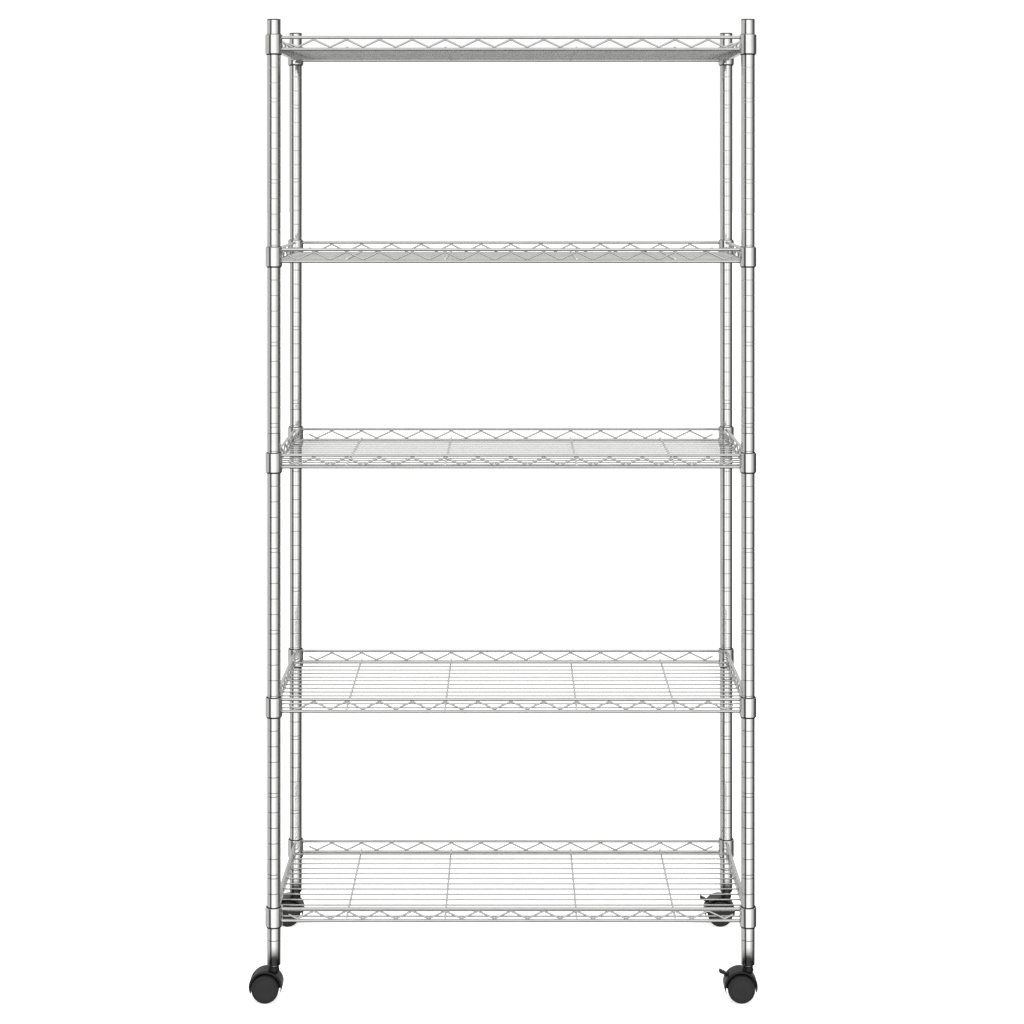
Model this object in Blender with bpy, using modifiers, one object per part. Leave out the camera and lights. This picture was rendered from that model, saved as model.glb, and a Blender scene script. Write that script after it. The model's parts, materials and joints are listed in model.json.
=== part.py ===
"""Five-tier wire shelving rack on four twin-wheel swivel casters.

Metres, +Z up. The origin is on the floor, under the middle of the rack's outline.
-Y is the front, -X is the left, and all four casters trail towards the left.

Each grooved post is two tube sections joined by a stud. A split tapered sleeve clips
round a post with its rib in a groove, and a shelf's corner collar wedges down on it.
"""

import math

import bmesh
import bpy
from mathutils import Matrix, Vector

# ---------------------------------------------------------------- driving dimensions
GAP = 0.0003                 # left between pieces that touch
ROUND_SIDES = 10             # sides of every piece that is round about a post
SMOOTH_ANGLE = math.radians(40)

POST_SPACING_X = 0.750
POST_SPACING_Y = 0.322
POST_RADIUS = 0.01085
POST_WALL = 0.0012
LOWER_LENGTH = 0.8401
UPPER_LENGTH = 0.6527

LOWER_GROOVE_PITCH = 0.0246
UPPER_GROOVE_PITCH = 0.0245
LOWER_GROOVE_FIRST = 0.0085  # from a section's end to its first groove
UPPER_GROOVE_FIRST = 0.0095
GROOVE_DOUBLE = 0.0058       # every fifth groove is doubled by this much
GROOVES_PER_MARK = 5
GROOVE_DEPTH = 0.0008
GROOVE_HALF_HEIGHT = 0.0012

LOWER_SEATS = (2, 15)        # grooves that hold shelves, counted from a section's foot
UPPER_SEATS = (10,)          # each section also holds one a groove below its last

INSERT_HEIGHT = 0.012        # pressed into the tube ends
STUD_RADIUS = 0.0040
STUD_LENGTH = 0.010
CAP_RIM = 0.0015
CAP_PLUG = 0.010

SLEEVE_WALL_TOP = 0.0005
SLEEVE_WALL_BOTTOM = 0.00085
SLEEVE_ABOVE_COLLAR = 0.0010
SLEEVE_BELOW_COLLAR = 0.0014
COLLAR_WALL = 0.00125        # at its foot, where its bore is widest
COLLAR_ABOVE_SEAT = 0.0275
WIRE_BELOW_COLLAR_TOP = 0.004
COLLAR_BELOW_LOW_WIRE = 0.008
WIRE_GAP = 0.0187            # between the centres of the two perimeter wires

PERIMETER_WIRE = 0.0050
TRUSS_WIRE = 0.0030
DECK_WIRE = 0.0024
CROSS_WIRE = 0.0032
TRUSS_PITCH = 0.052
DECK_PITCH = 0.0242
END_CLEARANCE = 0.0005       # least room from a wire to a collar
WELD = 0.0004                # depth to which the ridges of two welded wires sink

WHEEL_RADIUS = 0.0215
WHEEL_WIDTH = 0.015
WHEEL_SIDES = 16
WHEEL_ROUNDING = 0.0025
TRAIL = 0.012                # from the swivel axis back to the axle
WEB_WIDTH = 0.014            # of the hood between its two wheels
WHEEL_SIDE_GAP = 0.0005
WHEEL_PROUD = 0.0070         # how far a wheel stands out past the hood's side
TREAD_GAP = 0.0026
FENDER_THICKNESS = 0.0027
HOOD_ARC_STEP = math.radians(15)
HOOD_TIP_STEPS = 1           # arc steps that the hood reaches below its axle, each side
BOSS_RADIUS = 0.008
BOSS_RISE = 0.0047           # above the hood's crown
AXLE_RADIUS = 0.0030
AXLE_DEPTH = 0.010           # into each wheel
PIN_RADIUS = 0.0035
PIN_LENGTH = 0.022
FLANGE_RADIUS = 0.0075
FLANGE_THICKNESS = 0.0016

LEVER_PIVOT_ANGLE = math.radians(132)    # round the axle from the swivel's side
LEVER_PIVOT_INSET = 0.0084   # inwards from the hood's outside
LEVER_SLOPE = math.radians(25)
LEVER_STROKE = math.radians(13)
LEVER_ARM_HALF_WIDTH = 0.0040
LEVER_ARM_THICKNESS = 0.0036
LEVER_TAB_CLEARANCE = 0.0024 # from the hood's outside, with the lever right down
LEVER_TAB_LENGTH = 0.0115
LEVER_TAB_HALF_WIDTH = 0.0060
LEVER_TAB_THICKNESS = 0.0038
BARREL_RADIUS = 0.0032
TRUNNION_RADIUS = 0.0016
TRUNNION_REACH = 0.0055
LEVER_PLAY = 0.0005

# ---------------------------------------------------------------- derived dimensions
wheel_inner_face = WEB_WIDTH / 2 + WHEEL_SIDE_GAP
hood_half_width = wheel_inner_face + WHEEL_WIDTH - WHEEL_PROUD
pocket_radius = WHEEL_RADIUS + TREAD_GAP
hood_radius = pocket_radius + FENDER_THICKNESS
boss_top = hood_radius + BOSS_RISE                      # above the axle
post_foot = WHEEL_RADIUS + boss_top + GAP + FLANGE_THICKNESS + GAP
joint_height = post_foot + LOWER_LENGTH
upper_foot = joint_height + GAP
upper_head = upper_foot + UPPER_LENGTH
tube_bore = POST_RADIUS - POST_WALL
sleeve_bore = POST_RADIUS + GAP
collar_foot = COLLAR_ABOVE_SEAT - WIRE_BELOW_COLLAR_TOP - WIRE_GAP - COLLAR_BELOW_LOW_WIRE
top_wire = COLLAR_ABOVE_SEAT - WIRE_BELOW_COLLAR_TOP    # above the seat groove
low_wire = top_wire - WIRE_GAP
sleeve_top = COLLAR_ABOVE_SEAT + SLEEVE_ABOVE_COLLAR
sleeve_foot = collar_foot - SLEEVE_BELOW_COLLAR


def sleeve_outside(height):
    """Radius of the sleeve's tapered outside at a height above the seat groove."""
    share = (sleeve_top - height) / (sleeve_top - sleeve_foot)
    wall = SLEEVE_WALL_TOP + share * (SLEEVE_WALL_BOTTOM - SLEEVE_WALL_TOP)
    return sleeve_bore + wall


collar_radius = sleeve_outside(collar_foot) + GAP + COLLAR_WALL
half_x = POST_SPACING_X / 2
half_y = POST_SPACING_Y / 2
# The casters trail to the left, so the posts stand to the right of the outline's middle.
left_reach = TRAIL + hood_radius
right_reach = max(collar_radius, hood_radius - TRAIL)
rack_shift = (left_reach - right_reach) / 2

pivot_radius = hood_radius - LEVER_PIVOT_INSET
lever_pivot = Vector((math.cos(LEVER_PIVOT_ANGLE), 0.0, math.sin(LEVER_PIVOT_ANGLE))) * pivot_radius


def lever_reach(slope):
    """How far from its pivot a lever at this slope leaves the hood's outer circle."""
    along = Vector((-math.cos(slope), 0.0, math.sin(slope)))
    toward = lever_pivot.dot(along)
    return math.sqrt(toward**2 + hood_radius**2 - pivot_radius**2) - toward


tab_start = lever_reach(LEVER_SLOPE - LEVER_STROKE) + LEVER_TAB_CLEARANCE   # from the pivot
tab_end = tab_start + LEVER_TAB_LENGTH

CORNERS = {
    "front_left": (-1, -1),
    "front_right": (1, -1),
    "rear_left": (-1, 1),
    "rear_right": (1, 1),
}
BRAKED = ("front_right", "rear_right")


# ---------------------------------------------------------------- scene and materials
for old in list(bpy.data.objects):
    bpy.data.objects.remove(old, do_unlink=True)

rack = bpy.data.collections.new("wire_shelving_rack")
cutters = bpy.data.collections.new("cutters")
bpy.context.scene.collection.children.link(rack)
bpy.context.scene.collection.children.link(cutters)


def material(name, colour, metallic, roughness):
    made = bpy.data.materials.new(name)
    made.use_nodes = True
    shader = made.node_tree.nodes["Principled BSDF"]
    shader.inputs["Base Color"].default_value = (*colour, 1.0)
    shader.inputs["Metallic"].default_value = metallic
    shader.inputs["Roughness"].default_value = roughness
    return made


chrome = material("chrome_plate", (0.72, 0.73, 0.75), 1.0, 0.12)
steel = material("zinc_steel", (0.55, 0.55, 0.56), 1.0, 0.35)
sleeve_plastic = material("sleeve_plastic", (0.02, 0.02, 0.02), 0.0, 0.5)
hood_plastic = material("hood_plastic", (0.022, 0.022, 0.022), 0.0, 0.35)
wheel_plastic = material("wheel_plastic", (0.035, 0.035, 0.035), 0.0, 0.45)


# ---------------------------------------------------------------- making solids
def add(name, data, collection=rack):
    made = bpy.data.objects.new(name, data)
    collection.objects.link(made)
    return made


def evaluated(obj):
    """A new mesh of the object as its modifiers leave it, with doubled points welded."""
    graph = bpy.context.evaluated_depsgraph_get()
    made = bpy.data.meshes.new_from_object(obj.evaluated_get(graph))
    cleaned = bmesh.new()
    cleaned.from_mesh(made)
    bmesh.ops.remove_doubles(cleaned, verts=cleaned.verts, dist=1e-6)
    cleaned.to_mesh(made)
    cleaned.free()
    return made


def settle(obj):
    """Turns an object into a mesh object of the same name, with its place in its mesh."""
    name, place, home = obj.name, obj.matrix_world.copy(), obj.users_collection[0]
    made = evaluated(obj)
    made.transform(place)
    made.name = name
    bpy.data.objects.remove(obj, do_unlink=True)
    return add(name, made, home)


def turned(name, profile, closed, sides=ROUND_SIDES, collection=rack):
    """A profile of (radius, height) points turned about +Z. Its outer side runs downwards."""
    data = bpy.data.meshes.new(name)
    count = len(profile)
    edges = [(i, i + 1) for i in range(count - 1)]
    if closed:
        edges.append((count - 1, 0))
    data.from_pydata([(radius, 0.0, height) for radius, height in profile], edges, [])
    obj = add(name, data, collection)
    screw = obj.modifiers.new("turn", "SCREW")
    screw.steps = sides
    screw.render_steps = sides
    screw.use_merge_vertices = True
    screw.merge_threshold = 1e-5
    screw.use_smooth_shade = False
    bpy.context.view_layer.update()
    return settle(obj)


def rod(name, start, end, radius, sides=ROUND_SIDES, collection=cutters):
    """A solid round rod between two points."""
    start, end = Vector(start), Vector(end)
    along = end - start
    made = bmesh.new()
    bmesh.ops.create_cone(
        made, cap_ends=True, segments=sides, radius1=radius, radius2=radius, depth=along.length
    )
    turn = Vector((0, 0, 1)).rotation_difference(along.normalized()).to_matrix().to_4x4()
    made.transform(Matrix.Translation((start + end) / 2) @ turn)
    data = bpy.data.meshes.new(name)
    made.to_mesh(data)
    made.free()
    return add(name, data, collection)


def block(name, low, high, place=Matrix.Identity(4), collection=cutters):
    """A box between two corners, then moved by a matrix."""
    low, high = Vector(low), Vector(high)
    made = bmesh.new()
    bmesh.ops.create_cube(made, size=1.0)
    size = Matrix.Diagonal((*(high - low), 1.0))
    made.transform(place @ Matrix.Translation((low + high) / 2) @ size)
    data = bpy.data.meshes.new(name)
    made.to_mesh(data)
    made.free()
    return add(name, data, collection)


def ridge(diameter):
    """Half the width across the ridges of a square wire with a round wire's section area."""
    return diameter / 2 * math.sqrt(math.pi / 2)


def wire(name, points, diameter, collection=cutters):
    """A four-sided wire along straight runs, with its ridges up, down and to the sides."""
    data = bpy.data.curves.new(name, "CURVE")
    data.dimensions = "3D"
    data.resolution_u = 1
    data.render_resolution_u = 0
    data.bevel_depth = ridge(diameter)
    data.bevel_resolution = 0
    data.use_fill_caps = True
    data.twist_mode = "Z_UP"
    line = data.splines.new("POLY")
    line.points.add(len(points) - 1)
    for point, place in zip(line.points, points):
        point.co = (*place, 1.0)
    obj = add(name, data, collection)
    bpy.context.view_layer.update()
    return settle(obj)


def combined(name, base, others, operation):
    """One mesh from a base and other objects, by exact Booleans. The others are used up."""
    group = bpy.data.collections.new(name + "_operands")
    bpy.context.scene.collection.children.link(group)
    for other in others:
        group.objects.link(other)
    step = base.modifiers.new("combine", "BOOLEAN")
    step.operation = operation
    step.solver = "EXACT"
    step.operand_type = "COLLECTION"
    step.collection = group
    bpy.context.view_layer.update()
    base.name = name
    made = settle(base)
    for other in others:
        bpy.data.objects.remove(other, do_unlink=True)
    bpy.data.collections.remove(group)
    return made


def finish(obj, finish_material):
    """Gives a piece its material, and shades its round faces smooth and its edges sharp."""
    obj.data.materials.clear()
    obj.data.materials.append(finish_material)
    obj.data.shade_smooth()
    obj.data.set_sharp_from_angle(angle=SMOOTH_ANGLE)
    return obj


def copies(name, source, place, parent=None):
    """Another object with the same mesh, placed from its parent where it has one."""
    made = add(name, source.data)
    made.parent = parent
    made.location = place
    return made


def pivot(name, place, parent=None):
    """An empty on a joint's axis. The pieces that move with the joint are its children."""
    made = add(name, None)
    made.parent = parent
    made.location = place
    return made


# ---------------------------------------------------------------- grooves and seats
def groove_height(k, first, pitch):
    """Height of groove k above its section's foot. Groove 0 and each fifth are doubled above."""
    marks = math.ceil(k / GROOVES_PER_MARK)
    return first + k * pitch + marks * GROOVE_DOUBLE


def last_groove(length, first, pitch):
    k = 0
    while groove_height(k + 1, first, pitch) < length - first:
        k += 1
    return k


def seat_heights(length, seats, first, pitch):
    """Heights of the seat grooves of one section, above its foot."""
    chosen = [*seats, last_groove(length, first, pitch) - 1]
    return [groove_height(k, first, pitch) for k in chosen]


lower_seats = seat_heights(LOWER_LENGTH, LOWER_SEATS, LOWER_GROOVE_FIRST, LOWER_GROOVE_PITCH)
upper_seats = seat_heights(UPPER_LENGTH, UPPER_SEATS, UPPER_GROOVE_FIRST, UPPER_GROOVE_PITCH)
shelf_seats = [post_foot + h for h in lower_seats] + [upper_foot + h for h in upper_seats]


def grooved_side(length, seats):
    """The outer side of a tube section, from its head down to its foot."""
    points = [(POST_RADIUS, length)]
    for height in sorted(seats, reverse=True):
        points.append((POST_RADIUS, height + GROOVE_HALF_HEIGHT))
        points.append((POST_RADIUS - GROOVE_DEPTH, height))
        points.append((POST_RADIUS, height - GROOVE_HALF_HEIGHT))
    points.append((POST_RADIUS, 0.0))
    return points


# ---------------------------------------------------------------- posts
def lower_post():
    """A tube with a threaded insert at each end, both bored for a stud of the same size."""
    bore = STUD_RADIUS + GAP
    inside = [
        (bore, 0.0),
        (bore, INSERT_HEIGHT),
        (tube_bore, INSERT_HEIGHT),
        (tube_bore, LOWER_LENGTH - INSERT_HEIGHT),
        (bore, LOWER_LENGTH - INSERT_HEIGHT),
        (bore, LOWER_LENGTH),
    ]
    return turned("lower_post", grooved_side(LOWER_LENGTH, lower_seats) + inside, closed=True)


def upper_post():
    """A tube open at its head, with a pressed-in stud that reaches down below its foot."""
    inside = [(0.0, INSERT_HEIGHT), (tube_bore, INSERT_HEIGHT), (tube_bore, UPPER_LENGTH)]
    stud = [(STUD_RADIUS, 0.0), (STUD_RADIUS, -STUD_LENGTH), (0.0, -STUD_LENGTH)]
    return turned(
        "upper_post", inside + grooved_side(UPPER_LENGTH, upper_seats) + stud, closed=False
    )


def post_cap():
    """A rim that covers the tube's end and a plug that goes into it."""
    plug = tube_bore - GAP
    profile = [
        (0.0, GAP + CAP_RIM),
        (POST_RADIUS - CAP_RIM / 2, GAP + CAP_RIM),
        (POST_RADIUS, GAP + CAP_RIM / 2),
        (POST_RADIUS, GAP),
        (plug, GAP),
        (plug, -CAP_PLUG),
        (0.0, -CAP_PLUG),
    ]
    return turned("post_cap", profile, closed=False)


# ---------------------------------------------------------------- sleeves and shelves
def sleeve():
    """Both clipped halves as one ring, with the rib that sits in the seat groove."""
    rib = POST_RADIUS - GROOVE_DEPTH + GAP
    profile = [
        (sleeve_outside(sleeve_top), sleeve_top),
        (sleeve_outside(sleeve_foot), sleeve_foot),
        (sleeve_bore, sleeve_foot),
        (sleeve_bore, -GROOVE_HALF_HEIGHT),
        (rib, 0.0),
        (sleeve_bore, GROOVE_HALF_HEIGHT),
        (sleeve_bore, sleeve_top),
    ]
    return turned("sleeve", profile, closed=True)


def collar(name, x, y):
    """The tapered ring at a shelf's corner, which its wires are welded to."""
    profile = [
        (collar_radius, COLLAR_ABOVE_SEAT),
        (collar_radius, collar_foot),
        (sleeve_outside(collar_foot) + GAP, collar_foot),
        (sleeve_outside(COLLAR_ABOVE_SEAT) + GAP, COLLAR_ABOVE_SEAT),
    ]
    made = turned(name, profile, closed=True, collection=cutters)
    made.data.transform(Matrix.Translation((x, y, 0.0)))
    return made


def wire_end():
    """How far from a post's axis a rail ends: in the middle of the collar's wall."""
    inside = sleeve_outside(low_wire) + GAP
    outside = collar_radius * math.cos(math.pi / ROUND_SIDES)
    return (inside + outside) / 2


def truss_peaks(half_span):
    """How many peaks fit each side of the middle one, with a bend and a stub after the last."""
    room = half_span - collar_radius - TRUSS_PITCH / 4 - END_CLEARANCE
    return math.floor(room / TRUSS_PITCH - 0.5)


def truss_line(half_span):
    """(distance, height) of a truss wire's bends, from one stub end to the other."""
    high = top_wire - ridge(PERIMETER_WIRE) - ridge(TRUSS_WIRE) + WELD
    low = low_wire + ridge(PERIMETER_WIRE) + ridge(TRUSS_WIRE) - WELD
    last = 2 * truss_peaks(half_span) + 1
    bends = [(i * TRUSS_PITCH / 2, low if i % 2 else high) for i in range(-last, last + 1)]
    stub = last * TRUSS_PITCH / 2 + TRUSS_PITCH / 4
    middle = (high + low) / 2
    return [(-stub, middle), *bends, (stub, middle)]


def shelf():
    """One welded shelf, used lip upwards: its deck lies at the low perimeter wires."""
    parts = []
    reach_x = half_x - wire_end()
    reach_y = half_y - wire_end()
    for side in (-1, 1):
        for level in (top_wire, low_wire):
            x, y = side * half_x, side * half_y
            parts.append(wire("rail", [(-reach_x, y, level), (reach_x, y, level)], PERIMETER_WIRE))
            parts.append(wire("rail", [(x, -reach_y, level), (x, reach_y, level)], PERIMETER_WIRE))
        long_truss = [(d, side * half_y, z) for d, z in truss_line(half_x)]
        short_truss = [(side * half_x, d, z) for d, z in truss_line(half_y)]
        parts.append(wire("truss", long_truss, TRUSS_WIRE))
        parts.append(wire("truss", short_truss, TRUSS_WIRE))
    cross_level = low_wire + ridge(PERIMETER_WIRE) + ridge(CROSS_WIRE) - WELD
    deck_level = cross_level - ridge(CROSS_WIRE) - ridge(DECK_WIRE) - GAP
    room = half_y - collar_radius - ridge(DECK_WIRE) - END_CLEARANCE
    rows = math.floor(room / DECK_PITCH)
    for row in range(-rows, rows + 1):
        y = row * DECK_PITCH
        parts.append(wire("deck", [(-half_x, y, deck_level), (half_x, y, deck_level)], DECK_WIRE))
    peaks = truss_peaks(half_x)
    reach = half_y + ridge(CROSS_WIRE)
    for peak in {peaks // 3, peaks - 1}:
        for side in (-1, 1):
            x = side * peak * TRUSS_PITCH
            ends = [(x, -reach, cross_level), (x, reach, cross_level)]
            parts.append(wire("cross", ends, CROSS_WIRE))
    for name, (sx, sy) in CORNERS.items():
        parts.append(collar("collar_" + name, sx * half_x, sy * half_y))
    return combined("shelf", parts[0], parts[1:], "UNION")


# ---------------------------------------------------------------- casters
# A caster is made about its axle's middle, with its swivel axis at +X.
def lever_frame(turn=0.0):
    """A turn about the lever's pivot, after which +X runs out along the lever."""
    return Matrix.Rotation(math.pi + LEVER_SLOPE - turn, 4, "Y")


def hood():
    """Fender, web and swivel boss in one, with pockets for the wheels."""
    steps = round(math.pi / HOOD_ARC_STEP) + 2 * HOOD_TIP_STEPS
    outline = bpy.data.curves.new("hood", "CURVE")
    outline.dimensions = "2D"
    outline.fill_mode = "BOTH"
    outline.extrude = hood_half_width
    outline.resolution_u = 1
    outline.render_resolution_u = 0
    arc = outline.splines.new("POLY")
    arc.points.add(steps)
    for i, point in enumerate(arc.points):
        angle = (i - HOOD_TIP_STEPS) * HOOD_ARC_STEP
        point.co = (hood_radius * math.cos(angle), hood_radius * math.sin(angle), 0.0, 1.0)
    arc.use_cyclic_u = True
    blank = add("hood_blank", outline, cutters)
    blank.rotation_euler = (math.pi / 2, 0.0, 0.0)
    bpy.context.view_layer.update()
    blank = settle(blank)

    boss = rod("boss", (TRAIL, 0, pocket_radius), (TRAIL, 0, boss_top), BOSS_RADIUS)
    cuts = []
    for side in (-1, 1):
        inner, outer = side * WEB_WIDTH / 2, side * (hood_half_width + GAP)
        cuts.append(rod("pocket", (0, inner, 0), (0, outer, 0), pocket_radius, WHEEL_SIDES))
    cut = combined("hood_cut", blank, cuts, "DIFFERENCE")
    joined = combined("hood_joined", cut, [boss], "UNION")

    socket_foot = boss_top - PIN_LENGTH
    reach = WEB_WIDTH
    slot_half = (LEVER_ARM_THICKNESS / 2 + LEVER_PLAY
                 + tab_start * math.sin(LEVER_STROKE / 2))
    arm_room = LEVER_ARM_HALF_WIDTH + LEVER_PLAY
    across = Vector((0, 1, 0))
    trunnion_room = TRUNNION_REACH + LEVER_PLAY
    cuts = [
        rod("axle_hole", (0, -reach, 0), (0, reach, 0), AXLE_RADIUS + GAP),
        rod("socket", (TRAIL, 0, socket_foot), (TRAIL, 0, boss_top + GAP), PIN_RADIUS + GAP),
        rod("barrel_room", lever_pivot - across * arm_room, lever_pivot + across * arm_room,
            BARREL_RADIUS + LEVER_PLAY),
        rod("trunnion_room", lever_pivot - across * trunnion_room,
            lever_pivot + across * trunnion_room, TRUNNION_RADIUS + GAP),
        block("slot", (0.0, -arm_room, -slot_half), (hood_radius, arm_room, slot_half),
              Matrix.Translation(lever_pivot) @ lever_frame(LEVER_STROKE / 2)),
    ]
    return combined("hood", joined, cuts, "DIFFERENCE")


def brake_lever():
    """A tab on an arm, with a barrel and trunnions about the origin, its pivot."""
    across = Vector((0, 1, 0))
    half = LEVER_ARM_THICKNESS / 2
    tab_half = LEVER_TAB_THICKNESS / 2
    frame = lever_frame()
    tab = block("tab", (tab_start, -LEVER_TAB_HALF_WIDTH, -tab_half),
                (tab_end, LEVER_TAB_HALF_WIDTH, tab_half), frame)
    others = [
        block("arm", (0.0, -LEVER_ARM_HALF_WIDTH, -half),
              (tab_start + half, LEVER_ARM_HALF_WIDTH, half), frame),
        rod("barrel", -across * LEVER_ARM_HALF_WIDTH, across * LEVER_ARM_HALF_WIDTH,
            BARREL_RADIUS),
        rod("trunnion", -across * TRUNNION_REACH, across * TRUNNION_REACH, TRUNNION_RADIUS),
    ]
    return combined("brake_lever", tab, others, "UNION")


def wheel():
    """A disc with rounded edges and a blind bore, turned about Z with its outer face up."""
    tread = WHEEL_RADIUS / math.cos(math.pi / WHEEL_SIDES)   # its flats are at the wheel's radius
    bore = AXLE_RADIUS + GAP
    profile = [
        (0.0, WHEEL_WIDTH),
        (tread - WHEEL_ROUNDING, WHEEL_WIDTH),
        (tread, WHEEL_WIDTH - WHEEL_ROUNDING),
        (tread, WHEEL_ROUNDING),
        (tread - WHEEL_ROUNDING, 0.0),
        (bore, 0.0),
        (bore, AXLE_DEPTH + GAP),
        (0.0, AXLE_DEPTH + GAP),
    ]
    made = turned("wheel", profile, closed=False, sides=WHEEL_SIDES)
    # Turned onto its axle with a flat, not a corner, at the bottom.
    turn = Matrix.Rotation(-math.pi / 2, 4, "X") @ Matrix.Rotation(math.pi / WHEEL_SIDES, 4, "Z")
    made.data.transform(turn)
    return made


def stem():
    """The swivel pin, its flange and the stud that screws into the post's foot."""
    flange_foot = boss_top + GAP
    flange_head = flange_foot + FLANGE_THICKNESS
    profile = [
        (0.0, flange_head + STUD_LENGTH),
        (STUD_RADIUS, flange_head + STUD_LENGTH),
        (STUD_RADIUS, flange_head),
        (FLANGE_RADIUS, flange_head),
        (FLANGE_RADIUS, flange_foot),
        (PIN_RADIUS, flange_foot),
        (PIN_RADIUS, boss_top - PIN_LENGTH + GAP),
        (0.0, boss_top - PIN_LENGTH + GAP),
    ]
    return turned("stem", profile, closed=False)


# ---------------------------------------------------------------- the rack, put together
masters = {
    "lower": finish(lower_post(), chrome),
    "upper": finish(upper_post(), chrome),
    "cap": finish(post_cap(), sleeve_plastic),
    "sleeve": finish(sleeve(), sleeve_plastic),
    "shelf": finish(shelf(), chrome),
    "hood": finish(hood(), hood_plastic),
    "lever": finish(brake_lever(), hood_plastic),
    "wheel": finish(wheel(), wheel_plastic),
    "stem": finish(stem(), steel),
}
axle_end = wheel_inner_face + AXLE_DEPTH
masters["axle"] = finish(rod("axle", (0, -axle_end, 0), (0, axle_end, 0), AXLE_RADIUS), steel)

for number, seat in enumerate(shelf_seats, start=1):
    copies(f"shelf_{number}", masters["shelf"], (rack_shift, 0.0, seat))

for corner, (sx, sy) in CORNERS.items():
    x = rack_shift + sx * half_x
    y = sy * half_y
    copies(corner + "_lower_post", masters["lower"], (x, y, post_foot))
    copies(corner + "_upper_post", masters["upper"], (x, y, upper_foot))
    copies(corner + "_post_cap", masters["cap"], (x, y, upper_head))
    for number, seat in enumerate(shelf_seats, start=1):
        copies(f"{corner}_sleeve_{number}", masters["sleeve"], (x, y, seat))

    copies(corner + "_caster_stem", masters["stem"], (x, y, WHEEL_RADIUS))
    swivel = pivot(corner + "_swivel", (x, y, WHEEL_RADIUS))
    axle = Vector((-TRAIL, 0.0, 0.0))
    copies(corner + "_caster_hood", masters["hood"], axle, swivel)
    copies(corner + "_caster_axle", masters["axle"], axle, swivel)
    for name, side in (("front", -1), ("rear", 1)):
        face = axle + Vector((0.0, side * wheel_inner_face, 0.0))
        made = copies(f"{corner}_caster_{name}_wheel", masters["wheel"], face, swivel)
        made.rotation_euler = (0.0, 0.0, math.pi if side < 0 else 0.0)
    if corner in BRAKED:
        brake = pivot(corner + "_brake_pivot", axle + lever_pivot, swivel)
        copies(corner + "_brake_lever", masters["lever"], (0.0, 0.0, 0.0), brake)

for master in masters.values():
    bpy.data.objects.remove(master, do_unlink=True)
bpy.context.view_layer.update()
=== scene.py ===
# %% [markdown]
# # A chrome wire rack on casters
#
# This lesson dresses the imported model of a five-tier wire rack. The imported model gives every
# place and every joint. Here each visible piece is made again as a fine surface: grooved
# tubes, round welded wires, clipped plastic sleeves and moulded twin-wheel casters.
# Everything is in metres, with +Z up, and the front of the rack faces -Y.

# %% Load the frame
import json
import math

import bpy
import numpy as np
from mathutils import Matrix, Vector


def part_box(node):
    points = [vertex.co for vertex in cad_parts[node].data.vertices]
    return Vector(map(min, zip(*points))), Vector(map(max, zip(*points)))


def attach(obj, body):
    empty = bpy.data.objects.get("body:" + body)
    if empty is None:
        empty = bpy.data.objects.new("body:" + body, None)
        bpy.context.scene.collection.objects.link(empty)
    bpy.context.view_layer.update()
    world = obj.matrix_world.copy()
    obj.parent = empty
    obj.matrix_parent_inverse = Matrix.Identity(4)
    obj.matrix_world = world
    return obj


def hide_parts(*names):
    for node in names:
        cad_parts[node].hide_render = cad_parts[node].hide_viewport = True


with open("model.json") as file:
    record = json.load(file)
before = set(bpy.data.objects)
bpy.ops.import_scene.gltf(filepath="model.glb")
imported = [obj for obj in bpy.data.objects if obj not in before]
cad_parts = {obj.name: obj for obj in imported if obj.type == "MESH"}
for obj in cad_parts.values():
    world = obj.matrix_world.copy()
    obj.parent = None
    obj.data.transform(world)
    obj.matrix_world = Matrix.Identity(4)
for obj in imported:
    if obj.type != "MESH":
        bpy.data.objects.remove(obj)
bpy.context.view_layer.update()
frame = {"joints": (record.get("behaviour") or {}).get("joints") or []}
joints = {joint["name"]: joint for joint in frame["joints"]}

# %% [markdown]
# ## Places taken from the frame
#
# A post's box gives its axis and radius, and a shelf's box gives the height of its collars.
# Reading these instead of writing them down keeps the fine pieces on the working model,
# whatever size it is.

# %% Read the posts and shelves
CORNERS = ("front_left", "front_right", "rear_left", "rear_right")
BRAKED = ("front_right", "rear_right")
SHELVES = (1, 2, 3, 4, 5)


def node_box(node):
    """The lowest and highest corners of a node, as arrays."""
    low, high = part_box(node)
    return np.array(low), np.array(high)


def middle_of(node):
    low, high = node_box(node)
    return (low + high) / 2


post_axis = {corner: middle_of(corner + "_lower_post")[:2] for corner in CORNERS}
first_low, first_high = node_box("front_left_lower_post")
POST_RADIUS = (first_high[0] - first_low[0]) / 2
rack_middle = (post_axis["front_left"] + post_axis["rear_right"]) / 2
half_x = (post_axis["front_right"][0] - post_axis["front_left"][0]) / 2
half_y = (post_axis["rear_left"][1] - post_axis["front_left"][1]) / 2
print("posts stand", round(2 * half_x, 4), "by", round(2 * half_y, 4), "apart")

# %% [markdown]
# ## The camera
#
# Tall shelving looks right from eye height with the camera level, because the posts then stay
# upright. The lens is shifted down to take in the casters. Shift does in Blender what a shift
# lens does on a real camera.

# %% Place the camera
EYE_HEIGHT = 1.310
STAND_OFF = 3.182            # from the front posts to the lens
LENS = 70.699                # in millimetres: sets how large the rack stands in the frame
SENSOR = 36.0
SHIFT_DOWN = 0.3332          # shares of the frame's width
SHIFT_RIGHT = 0.00107

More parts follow.
